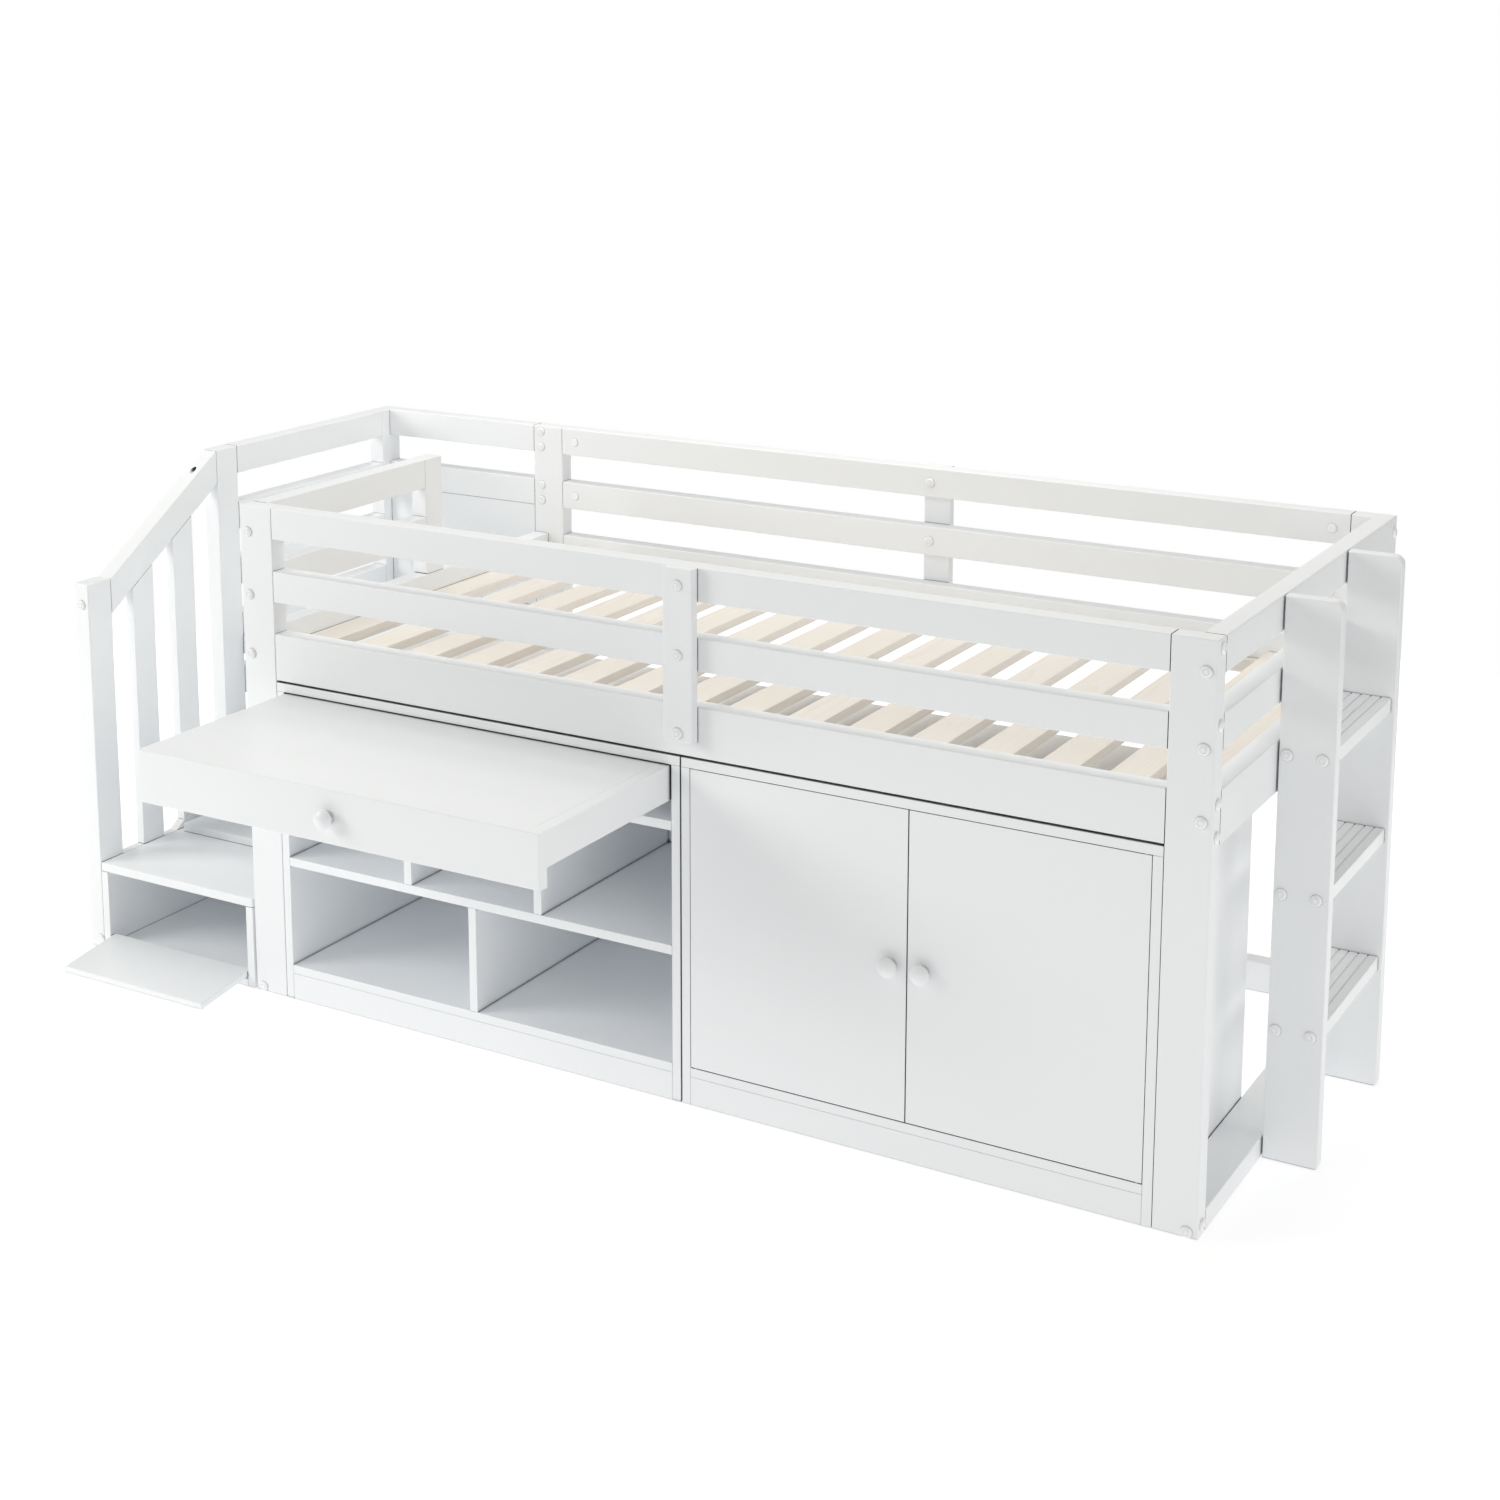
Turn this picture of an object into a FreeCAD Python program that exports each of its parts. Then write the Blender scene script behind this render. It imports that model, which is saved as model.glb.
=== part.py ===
import FreeCAD, Part
import math
import os

os.makedirs("parts", exist_ok=True)
V = FreeCAD.Vector

# All sizes in millimetres. The working frame has x = 0 at the left post faces,
# y = 0 at the front post faces and z = 0 on the floor.

# Bed frame
BED_LENGTH = 2020.0
BED_WIDTH = 1056.0
BED_HEIGHT = 1022.0
POST_WIDTH = 80.0
POST_THICK = 38.0
RAIL_THICK = 38.0
RAIL_HEIGHT = 63.0
RAIL_PITCH = 128.0
SIDE_RAIL_HEIGHT = 95.0
STRETCHER_HEIGHT = 38.0
ENTRANCE_WIDTH = 407.0
ENTRANCE_POST_WIDTH = 60.0
MID_POST_OFFSET = 21.0
MID_POST_WIDTH = 62.0
MID_POST_THICK = 20.0
MID_POST_LIFT = 29.0
RAIL_END_GAP = 0.6
TIMBER_ROUND = 2.5
BOARD_ROUND = 1.0
SEAM_ROUND = 0.3

# Slats and the ledgers that carry them
SLAT_COUNT = 16
SLAT_WIDTH = 70.0
SLAT_THICK = 18.0
SLAT_DROP = 42.0
SLAT_END_GAP = 2.0
SLAT_RAIL_GAP = 1.5
LEDGER_DEPTH = 22.0
LEDGER_HEIGHT = 25.0

# Cabinets under the bed
CABINET_DEPTH = 465.0
CABINET_SPLIT_OFFSET = 14.5
CABINET_SPLIT_GAP = 3.0
CABINET_POST_GAP = 0.4
CABINET_TOP_GAP = 4.0
BOARD = 18.0
BACK_THICK = 8.0
PLINTH_HEIGHT = 55.0
PLINTH_THICK = 30.0
DESK_BAY_HEIGHT = 107.0
ROW_DIFFERENCE = 9.0
DOOR_SHELF_SETBACK = 4.0
HIGH_CUBBIES = 3
DOOR_SIDE_GAP = 1.0
DOOR_TOP_GAP = 1.0
DOOR_BOTTOM_GAP = 1.6
DOOR_SPLIT_GAP = 2.0
DOOR_THICK = 18.0
DOOR_PIVOT_INSET = 10.0
DOOR_PIVOT_DEPTH = 4.0
DOOR_EDGE_ROUND = 0.8

# Pull-out desk and its three-piece runners
DESK_STAY = 40.0
DESK_BACK_GAP = 5.0
DESK_SIDE_GAP = 4.0
DESK_TOP_GAP = 2.0
DESK_BOTTOM_GAP = 4.0
DESK_FRONT_THICK = 22.0
DESK_SIDE_THICK = 25.0
DESK_SIDE_HEIGHT = 66.0
DESK_TOP_THICK = 18.0
RUNNER_SPACE = 12.7
RUNNER_BACK_GAP = 3.0
RUNNER_HEIGHT = 35.0
RUNNER_SHEET = 1.5
RUNNER_PLAY = 0.4
RUNNER_LIFT = 46.0
RUNNER_BOARD_THICK = 16.0
RUNNER_BOARD_HEIGHT = 84.0
RUNNER_SETBACK = 70.0

# Knobs
KNOB_RADIUS = 19.0
KNOB_REACH = 27.0
KNOB_NECK_RADIUS = 7.5
KNOB_DOME = 1.3
KNOB_CROWN = 0.8
KNOB_SOFTEN = 0.9
KNOB_NECK_SHARE = 0.3
KNOB_BELLY_SHARE = 0.58
KNOB_FOOT_HOLLOW = (1.06, 0.45)
KNOB_CUP = (0.82, 1.35)
KNOB_FOOT_RADIUS = 10.0
KNOB_STUD_RADIUS = 3.0
KNOB_STUD_LENGTH = 12.0
KNOB_TO_SPLIT = 31.0

# Stairs on the left end
GUARD_OUT = 465.0
GUARD_THICK = 38.0
GUARD_POST_DEPTH = 67.0
FRONT_POST_PROUD = 2.0
TALL_POST_SET = 64.0
HANDRAIL_RISE = 221.0
BALUSTER_THICK = 20.0
BALUSTER_WIDTH = 62.0
FIRST_BALUSTER_Y = 130.0
SECOND_BALUSTER_Y = 256.0
SKIRT_START_Y = 231.0
STAIR_GAP = 6.0
STEP_1_TOP = 193.0
LANDING_DROP = 86.0
TREAD_THICK = 19.0
STEP_GOING = 234.0
STEP_FLOOR_THICK = 15.0
CLEAT_HEIGHT = 26.0
TONGUE_LENGTH = 40.0
TONGUE_THICK = 12.0
TONGUE_SHOULDER = 4.0
TONGUE_PLAY = 0.2
TONGUE_ROOT = 1.0
FLAP_THICK = 13.0
FLAP_SIDE_GAP = 2.0
FLAP_TOP_GAP = 2.0
FLAP_PIVOT_Z = 26.5
FLAP_FLOOR_GAP = 0.5

# Ladder on the right end
LADDER_Y = 330.0
LADDER_GAP = 3.0
LADDER_BOARD_WIDTH = 99.0
LADDER_BOARD_THICK = 25.0
LADDER_CLEAR_WIDTH = 352.0
LADDER_TREAD_THICK = 27.0
LADDER_TREAD_DEPTH = 91.0
LADDER_LAST_DROP = 9.0
LADDER_TREADS = 3
LADDER_FIRST_TOP = 257.0
LADDER_TOP_ROUND = 18.0
LADDER_FOOT_ROUND = 8.0
GROOVE_COUNT = 4
GROOVE_RADIUS = 2.0

# Bolts, barrel nuts, dowels and pivot pins
BOLT_RADIUS = 3.9
HOLE_PLAY = 0.1
HOLE_END_PLAY = 1.0
BOLT_TIP_SKIN = 6.0
STUD_START_GAP = 4.0
HEAD_RADIUS = 10.0
HEAD_HEIGHT = 5.0
HEAD_RIM = 1.6
HEAD_SHOULDER = (0.87, 0.62)
HEAD_RING_OUT = 0.58
HEAD_RING_IN = 0.45
HEAD_RING_DEPTH = 0.8
FRONT_BOLT_LIFT = 15.0
END_BOLT_DROP = 22.0
SIDE_BOLT_SPREAD = 27.5
FOOT_BOLT_HIGH = 20.0
FOOT_BOLT_LOW = 10.5
BOLT_BITE = 44.0
NUT_SET = 36.0
NUT_RADIUS = 6.0
NUT_SKIN = 8.0
NUT_CAP_RADIUS = 9.0
NUT_CAP_HEIGHT = 3.2
NUT_CAP_ROUND = 1.9
LADDER_BOLT_INSET = 14.5
HANDRAIL_BOLT_DROP = 37.0
HANDRAIL_BOLT_SEAT = 19.0
HANDRAIL_BOLT_SHORT = 6.0
HANDRAIL_HEAD_RADIUS = 5.6
COUNTERBORE_PLAY = 0.6
TONGUE_BOLT_X = 21.0
TONGUE_BOLT_SPREAD = 18.0
TONGUE_BOLT_LENGTH = 32.0
DOWEL_RADIUS = 5.0
DOWEL_HALF = 25.0
PANEL_DOWEL_SHARES = (0.3, 0.7)
PIN_RADIUS = 3.0
PIN_HALF = 12.0
PIN_SEAT_PLAY = 0.02
PIN_PLAY = 0.05

# Places worked out from the sizes above
inner_x = (POST_WIDTH, BED_LENGTH - POST_WIDTH)
inner_y = (POST_THICK, BED_WIDTH - POST_THICK)
left_end_x = (0.0, RAIL_THICK)
right_end_x = (BED_LENGTH - RAIL_THICK, BED_LENGTH)
front_y = (0.0, RAIL_THICK)
rear_y = (BED_WIDTH - RAIL_THICK, BED_WIDTH)
guard_rail_count = int((BED_HEIGHT - RAIL_HEIGHT) // RAIL_PITCH) + 1
guard_tops = [BED_HEIGHT - RAIL_PITCH * i for i in range(guard_rail_count)]
guard_mids = [top - RAIL_HEIGHT / 2 for top in guard_tops]
side_rail_top = guard_tops[2]
side_rail_z = (side_rail_top - SIDE_RAIL_HEIGHT, side_rail_top)
side_rail_mid = sum(side_rail_z) / 2
rail_x = (inner_x[0] + RAIL_END_GAP, inner_x[1] - RAIL_END_GAP)
rail_y = (inner_y[0] + RAIL_END_GAP, inner_y[1] - RAIL_END_GAP)
mid_post_x = BED_LENGTH / 2 + MID_POST_OFFSET
slat_top = side_rail_top - SLAT_DROP
ledger_top = slat_top - SLAT_THICK
entrance_post_y = (inner_y[1] - ENTRANCE_WIDTH - ENTRANCE_POST_WIDTH, inner_y[1] - ENTRANCE_WIDTH)

cabinet_top = side_rail_z[0] - CABINET_TOP_GAP
cabinet_roof = cabinet_top - BOARD
cabinet_floor = PLINTH_HEIGHT + BOARD
cabinet_back_y = CABINET_DEPTH - BACK_THICK
cabinet_split_x = BED_LENGTH / 2 + CABINET_SPLIT_OFFSET
desk_cabinet_x = (inner_x[0] + CABINET_POST_GAP, cabinet_split_x - CABINET_SPLIT_GAP / 2)
door_cabinet_x = (cabinet_split_x + CABINET_SPLIT_GAP / 2, inner_x[1] - CABINET_POST_GAP)
high_shelf_z = cabinet_roof - DESK_BAY_HEIGHT - BOARD
low_shelf_z = cabinet_floor + (high_shelf_z - cabinet_floor - BOARD - ROW_DIFFERENCE) / 2
door_shelf_z = (cabinet_floor + cabinet_roof - BOARD) / 2

desk_x = (desk_cabinet_x[0] + BOARD + DESK_SIDE_GAP, desk_cabinet_x[1] - BOARD - DESK_SIDE_GAP)
desk_pull = cabinet_back_y - DESK_BACK_GAP - DESK_STAY
desk_y = (-desk_pull, DESK_STAY)
desk_top_z = cabinet_roof - DESK_TOP_GAP
desk_bay_z = high_shelf_z + BOARD
desk_front_z = (desk_bay_z + DESK_BOTTOM_GAP, desk_top_z)
desk_mid_x = sum(desk_x) / 2
runner_z = (desk_bay_z + RUNNER_LIFT, desk_bay_z + RUNNER_LIFT + RUNNER_HEIGHT)
runner_y = (DESK_FRONT_THICK + RUNNER_SETBACK, cabinet_back_y - RUNNER_BACK_GAP)

guard_x = (-GUARD_OUT, -GUARD_OUT + GUARD_THICK)
guard_mid_x = sum(guard_x) / 2
baluster_x = (guard_x[1] - BALUSTER_THICK, guard_x[1])
stair_x = (guard_x[1], -STAIR_GAP)
stair_inner_x = (stair_x[0] + BOARD, stair_x[1] - BOARD)
front_guard_y = (0.0, GUARD_POST_DEPTH)
landing_y = 2 * STEP_GOING
landing_top = side_rail_z[0] - LANDING_DROP
step_2_top = (STEP_1_TOP + landing_top) / 2
tall_guard_y = (landing_y - TALL_POST_SET, landing_y - TALL_POST_SET + GUARD_POST_DEPTH)
rear_guard_y = (BED_WIDTH - GUARD_POST_DEPTH, BED_WIDTH)
handrail_start_z = BED_HEIGHT - HANDRAIL_RISE
handrail_slope = HANDRAIL_RISE / (tall_guard_y[0] - front_guard_y[1])
handrail_drop = RAIL_HEIGHT * math.hypot(1.0, handrail_slope)
rear_mid_y = sum(rear_y) / 2

ladder_x = (BED_LENGTH + LADDER_GAP, BED_LENGTH + LADDER_GAP + LADDER_BOARD_WIDTH)
ladder_tread_x = (ladder_x[0], ladder_x[0] + LADDER_TREAD_DEPTH)
ladder_front_y = (LADDER_Y, LADDER_Y + LADDER_BOARD_THICK)
ladder_rear_y = (ladder_front_y[1] + LADDER_CLEAR_WIDTH,
                 ladder_front_y[1] + LADDER_CLEAR_WIDTH + LADDER_BOARD_THICK)
ladder_rise = (side_rail_top - LADDER_LAST_DROP - LADDER_FIRST_TOP) / (LADDER_TREADS - 1)
ladder_tops = [LADDER_FIRST_TOP + ladder_rise * i for i in range(LADDER_TREADS)]

# The part's origin is the middle of its footprint, on the floor
origin = V((guard_x[0] - HEAD_HEIGHT + ladder_x[1]) / 2,
           (desk_y[0] - KNOB_REACH + BED_WIDTH + MID_POST_THICK) / 2, 0.0)
AXES = {"x": V(1, 0, 0), "y": V(0, 1, 0), "z": V(0, 0, 1)}


# Shapes used by many pieces

def runs_along(edge, axis):
    """True where a straight edge lies along the named axis."""
    return abs(edge.tangentAt(edge.FirstParameter).dot(AXES[axis])) > 0.99


def block(x, y, z, radius=BOARD_ROUND, along=None):
    """Block over three (low, high) spans, with the edges along an axis, or all edges, rounded."""
    solid = Part.makeBox(x[1] - x[0], y[1] - y[0], z[1] - z[0], V(x[0], y[0], z[0]))
    edges = [e for e in solid.Edges if along is None or runs_along(e, along)]
    return solid.makeFillet(radius, edges)


def faced_block(x, y, z, radius, axis, level):
    """Block with only the edges round one outer face rounded, so that its joints stay tight."""
    solid = Part.makeBox(x[1] - x[0], y[1] - y[0], z[1] - z[0], V(x[0], y[0], z[0]))
    edges = [e for e in solid.Edges if abs(e.CenterOfMass.dot(AXES[axis]) - level) < 0.001]
    return solid.makeFillet(radius, edges)


def side_outline(points, x, radius=BOARD_ROUND):
    """Outline of (y, z) points drawn out across an x span, with all edges rounded."""
    corners = [V(x[0], y, z) for y, z in points]
    face = Part.Face(Part.makePolygon(corners + corners[:1]))
    solid = face.extrude(V(x[1] - x[0], 0, 0))
    return solid.makeFillet(radius, solid.Edges)


def rod(start, direction, length, radius):
    """Plain cylinder."""
    return Part.makeCylinder(radius, length, start, direction)


def mirror_pair(x, mid):
    """The same x span on both sides of a middle plane."""
    return [x, (2 * mid - x[1], 2 * mid - x[0])]


def save(name, solids):
    """Write one node, as a single solid or a group of separate solids, in the part's own frame."""
    shape = solids[0] if len(solids) == 1 else Part.makeCompound(solids)
    shape = shape.copy()
    shape.translate(origin * -1)
    shape.exportStep("parts/" + name + ".step")


# Bolts, nuts, dowels and pins, and the holes they run in

def bolt(head, direction, length, radius=HEAD_RADIUS):
    """Bolt as (seat of the head, way in, length of shank, radius of head)."""
    return (V(*head), AXES[direction[1]] * (1 if direction[0] == "+" else -1), length, radius)


def bolt_solid(spec):
    """Domed head over a plain shank, with a ring groove round the cover of its socket."""
    seat, way, length, radius = spec
    outline = [V(0, 0, -length), V(BOLT_RADIUS, 0, -length), V(BOLT_RADIUS, 0, 0),
               V(radius, 0, 0), V(radius, 0, HEAD_RIM)]
    crown = V(radius * HEAD_RING_OUT, 0, HEAD_HEIGHT)
    out, up = HEAD_SHOULDER
    shoulder = V(radius * out, 0, HEAD_RIM + (HEAD_HEIGHT - HEAD_RIM) * up)
    groove_z = HEAD_HEIGHT - HEAD_RING_DEPTH
    cover = [crown, V(crown.x, 0, groove_z), V(radius * HEAD_RING_IN, 0, groove_z),
             V(radius * HEAD_RING_IN, 0, HEAD_HEIGHT), V(0, 0, HEAD_HEIGHT), outline[0]]
    edges = Part.makePolygon(outline).Edges
    edges.append(Part.Arc(outline[-1], shoulder, crown).toShape())
    edges += Part.makePolygon(cover).Edges
    solid = Part.Face(Part.Wire(edges)).revolve(V(0, 0, 0), V(0, 0, 1), 360)
    solid.Placement = FreeCAD.Placement(seat, FreeCAD.Rotation(V(0, 0, 1), way * -1))
    return solid


def bolt_hole(spec):
    """Running hole for a bolt's shank."""
    seat, way, length, _ = spec
    return rod(seat, way, length + HOLE_END_PLAY, BOLT_RADIUS + HOLE_PLAY)


def corner_heights(rear):
    """Heights of the bolts that run along the bed into the front or the rear rails."""
    lift = 0.0 if rear else FRONT_BOLT_LIFT
    sides = [side_rail_mid + SIDE_BOLT_SPREAD, side_rail_mid - SIDE_BOLT_SPREAD]
    return [mid + lift for mid in guard_mids[:2]] + sides


def long_rail_bolts():
    """Bolts through the posts, along the bed, into rails, plinths and the rear stretcher."""
    found = []
    for rear in (False, True):
        y = rear_mid_y if rear else RAIL_THICK / 2
        for z in corner_heights(rear) + [FOOT_BOLT_HIGH]:
            found.append(bolt((BED_LENGTH, y, z), "-x", POST_WIDTH + BOLT_BITE))
            if not rear:
                found.append(bolt((0, y, z), "+x", POST_WIDTH + BOLT_BITE))
    return found


def end_rail_bolts():
    """Bolts through the posts, across the bed, into the end rails and end stretchers."""
    left, right = sum(left_end_x) / 2, sum(right_end_x) / 2
    low = [side_rail_mid, FOOT_BOLT_LOW]
    every = [mid - END_BOLT_DROP for mid in guard_mids[:2]] + low
    length = POST_THICK + BOLT_BITE
    found = [bolt((x, 0, z), "+y", length) for x in (left, right) for z in every]
    found += [bolt((right, BED_WIDTH, z), "-y", length) for z in every]
    found += [bolt((left, BED_WIDTH, z), "-y", length) for z in low]
    return found


def mid_post_bolts():
    """Bolts that clamp the front and rear middle posts to the long rails."""
    length = MID_POST_THICK + RAIL_THICK - BOLT_TIP_SKIN
    front = [bolt((mid_post_x, -MID_POST_THICK, z), "+y", length) for z in guard_mids[:2] + [side_rail_mid]]
    rear = [bolt((mid_post_x, rear_y[0], z), "+y", length) for z in guard_mids[:2]]
    return front + rear


def hidden_studs():
    """Headless studs that join the rear rails to the rear left post, behind the stair rails."""
    start = TONGUE_LENGTH + STUD_START_GAP
    length = POST_WIDTH + BOLT_BITE - start
    return [rod(V(start, rear_mid_y, z), AXES["x"], length, BOLT_RADIUS)
            for z in corner_heights(True) + [FOOT_BOLT_HIGH]]


def stud_holes():
    """Running holes for the headless studs."""
    start = TONGUE_LENGTH + STUD_START_GAP - HOLE_END_PLAY
    length = POST_WIDTH + BOLT_BITE - start + HOLE_END_PLAY
    return [rod(V(start, rear_mid_y, z), AXES["x"], length, BOLT_RADIUS + HOLE_PLAY)
            for z in corner_heights(True) + [FOOT_BOLT_HIGH]]


def stair_bolts():
    """Bolts of the stair posts, the handrail and the rear rail tongues."""
    bite = GUARD_POST_DEPTH + BOLT_BITE
    found = [bolt((guard_mid_x, 0, handrail_start_z - BOLT_BITE), "+y", bite)]
    found.append(bolt((sum(baluster_x) / 2, 0, FOOT_BOLT_HIGH), "+y", bite))
    found.append(handrail_bolt())
    for mid in guard_mids[:2]:
        found.append(bolt((guard_x[0], rear_mid_y, mid), "+x", GUARD_THICK + BOLT_BITE))
        for z in (mid + TONGUE_BOLT_SPREAD, mid - TONGUE_BOLT_SPREAD):
            found.append(bolt((TONGUE_BOLT_X, rear_y[0], z), "+y", TONGUE_BOLT_LENGTH))
    return found


def handrail_bolt():
    """Sunk bolt that pulls the handrail's top end to the tall post."""
    seat = (guard_mid_x, tall_guard_y[0] - HANDRAIL_BOLT_SEAT, BED_HEIGHT - HANDRAIL_BOLT_DROP)
    bite = GUARD_POST_DEPTH - DOWEL_HALF - HANDRAIL_BOLT_SHORT
    return bolt(seat, "+y", HANDRAIL_BOLT_SEAT + bite, HANDRAIL_HEAD_RADIUS)


def ladder_bolts():
    """Two bolts per tread through each ladder board, and the bolts that hold the boards."""
    xs = (ladder_tread_x[0] + LADDER_BOLT_INSET, ladder_tread_x[1] - LADDER_BOLT_INSET)
    length = LADDER_BOARD_THICK + BOLT_BITE
    found = []
    for top in ladder_tops:
        for x in xs:
            z = top - LADDER_TREAD_THICK / 2
            found.append(bolt((x, ladder_front_y[0], z), "+y", length))
            found.append(bolt((x, ladder_rear_y[1], z), "-y", length))
    for y in (sum(ladder_front_y) / 2, sum(ladder_rear_y) / 2):
        for z in guard_mids[:2]:
            found.append(bolt((right_end_x[0], y, z), "+x", RAIL_THICK + LADDER_GAP + BOLT_BITE))
    return found


def nut_places():
    """Barrel nuts as (point on the inner face, way in, capped), in rails and end rails."""
    found = []
    for rear in (False, True):
        face_y, way = (rear_y[0], AXES["y"]) if rear else (front_y[1], AXES["y"] * -1)
        for x in (inner_x[0] + NUT_SET, inner_x[1] - NUT_SET):
            for i, z in enumerate(corner_heights(rear)):
                found.append((V(x, face_y, z), way, i < 2))
    near, far = inner_y[0] + NUT_SET, inner_y[1] - NUT_SET
    heights = [mid - END_BOLT_DROP for mid in guard_mids[:2]]
    for z in heights:
        found.append((V(right_end_x[0], near, z), AXES["x"], True))
        found.append((V(right_end_x[0], far, z), AXES["x"], True))
        found.append((V(left_end_x[1], near, z), AXES["x"] * -1, True))
    return found


def nut_solid(place, holes):
    """Cross-drilled barrel with a low cap on the rail's inner face."""
    face, way, capped = place
    barrel = rod(face, way, RAIL_THICK - NUT_SKIN, NUT_RADIUS)
    if capped:
        cap = rod(face, way * -1, NUT_CAP_HEIGHT, NUT_CAP_RADIUS)
        rim = [e for e in cap.Edges if e.Closed and e.CenterOfMass.sub(face).Length > NUT_CAP_HEIGHT / 2]
        barrel = barrel.fuse(cap.makeFillet(NUT_CAP_ROUND, rim)).removeSplitter()
    return drilled(barrel, holes)


def nut_hole(place):
    """Hole that takes a barrel nut."""
    face, way, _ = place
    return rod(face, way, RAIL_THICK - NUT_SKIN + HOLE_PLAY, NUT_RADIUS + HOLE_PLAY)


def dowel_places():
    """Dowels as (middle, axis), across the butt joints of the guard and the left end."""
    found = []
    for mid in guard_mids:
        found.append((V(guard_mid_x, tall_guard_y[1], mid), AXES["y"]))
        found.append((V(guard_mid_x, rear_guard_y[0], mid), AXES["y"]))
    for mid in guard_mids[:2]:
        found.append((V(sum(left_end_x) / 2, entrance_post_y[0], mid), AXES["y"]))
    found.append((V(sum(left_end_x) / 2, sum(entrance_post_y) / 2, side_rail_top), AXES["z"]))
    for share in PANEL_DOWEL_SHARES:
        found.append((V(sum(baluster_x) / 2, tall_guard_y[0], STEP_1_TOP * share), AXES["y"]))
    for x in (stair_x[0], 0.0):
        found.append((V(x, rear_mid_y, guard_mids[-1]), AXES["x"]))
    return found


def dowel(place, play=0.0):
    """Dowel centred on its joint, or with play its hole."""
    middle, axis = place
    half = DOWEL_HALF + play
    return rod(middle - axis * half, axis, 2 * half, DOWEL_RADIUS + play)


def door_pivots(hinge_x):
    """Ends of a door's two pivot pins, low and high."""
    return [V(hinge_x, DOOR_PIVOT_DEPTH, z - PIN_HALF) for z in (cabinet_floor, cabinet_roof)]


def flap_pivots():
    """Ends of the flap's two pivot pins, left and right."""
    return [V(x - PIN_HALF, FLAP_THICK / 2, FLAP_PIVOT_Z) for x in stair_inner_x]


def pin(start, axis, play=0.0):
    """Pivot pin, or with play its hole."""
    return rod(start - AXES[axis] * play, AXES[axis], 2 * PIN_HALF + 2 * play, PIN_RADIUS + play)


def drilled(shape, holes):
    """The shape with every hole that reaches it cut out."""
    cutters = [h for h in holes if h.BoundBox.intersect(shape.BoundBox)]
    return shape.cut(cutters) if cutters else shape


# Bed frame pieces

def bed_post(x, y):
    """Upright corner post."""
    return block(x, y, (0.0, BED_HEIGHT), TIMBER_ROUND)


def guard_pair(y):
    """Top and middle rail of a long side."""
    return [block(rail_x, y, (top - RAIL_HEIGHT, top), TIMBER_ROUND, "x") for top in guard_tops[:2]]


def side_rail(y):
    """Deep rail that carries the slats."""
    return block(rail_x, y, side_rail_z, TIMBER_ROUND, "x")


def end_rails(x, upper_y):
    """Top and middle rail over a y span, and the deep rail below them from post to post."""
    upper = [block(x, upper_y, (top - RAIL_HEIGHT, top), TIMBER_ROUND, "y") for top in guard_tops[:2]]
    return upper + [block(x, rail_y, side_rail_z, TIMBER_ROUND, "y")]


def entrance_post():
    """Short post on the left end's deep rail, at the front of the stair opening."""
    return block(left_end_x, entrance_post_y, (side_rail_top, BED_HEIGHT), TIMBER_ROUND)


def stretchers():
    """Flat floor stretchers of both ends, and the upright one at the rear."""
    ends = [(0.0, POST_WIDTH), (BED_LENGTH - POST_WIDTH, BED_LENGTH)]
    flat = [block(x, inner_y, (0.0, STRETCHER_HEIGHT), TIMBER_ROUND, "y") for x in ends]
    return flat + [block(inner_x, rear_y, (0.0, RAIL_HEIGHT), TIMBER_ROUND, "x")]


def mid_posts():
    """Flat middle posts outside the front rails and behind the rear rails."""
    x = (mid_post_x - MID_POST_WIDTH / 2, mid_post_x + MID_POST_WIDTH / 2)
    foot = side_rail_z[0] + MID_POST_LIFT
    front = block(x, (-MID_POST_THICK, 0.0), (foot, BED_HEIGHT), TIMBER_ROUND)
    rear = block(x, (BED_WIDTH, BED_WIDTH + MID_POST_THICK), (side_rail_z[0], BED_HEIGHT), TIMBER_ROUND)
    return [front, rear]


def ledgers():
    """Ledgers along the inner faces of the deep rails."""
    x = (left_end_x[1], right_end_x[0])
    z = (ledger_top - LEDGER_HEIGHT, ledger_top)
    spans = [(inner_y[0], inner_y[0] + LEDGER_DEPTH), (inner_y[1] - LEDGER_DEPTH, inner_y[1])]
    return [block(x, y, z) for y in spans]


def slats():
    """Evenly spaced slats from end rail to end rail."""
    first = left_end_x[1] + SLAT_RAIL_GAP
    last = right_end_x[0] - SLAT_RAIL_GAP - SLAT_WIDTH
    pitch = (last - first) / (SLAT_COUNT - 1)
    y = (inner_y[0] + SLAT_END_GAP, inner_y[1] - SLAT_END_GAP)
    z = (ledger_top, slat_top)
    return [block((first + pitch * i, first + pitch * i + SLAT_WIDTH), y, z) for i in range(SLAT_COUNT)]


# Cabinet pieces

def cabinet_inner(x):
    """Span between a cabinet's two sides."""
    return (x[0] + BOARD, x[1] - BOARD)


def cabinet_sides(x):
    """Two sides from the floor to the underside of the top."""
    spans = [(x[0], x[0] + BOARD), (x[1] - BOARD, x[1])]
    return [block(span, (0.0, CABINET_DEPTH), (0.0, cabinet_roof)) for span in spans]


def cabinet_lid(x):
    """Top over both sides."""
    return block(x, (0.0, CABINET_DEPTH), (cabinet_roof, cabinet_top))


def cabinet_level(x, z, y0=0.0):
    """Board between the sides, in front of the back."""
    return block(cabinet_inner(x), (y0, cabinet_back_y), (z, z + BOARD))


def cabinet_back(x):
    """Thin back between the sides, from the bottom board to the top."""
    return block(cabinet_inner(x), (cabinet_back_y, CABINET_DEPTH), (PLINTH_HEIGHT, cabinet_roof))


def plinth(x):
    """Front plinth between the sides."""
    return block(cabinet_inner(x), (0.0, PLINTH_THICK), (0.0, PLINTH_HEIGHT))


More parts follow.
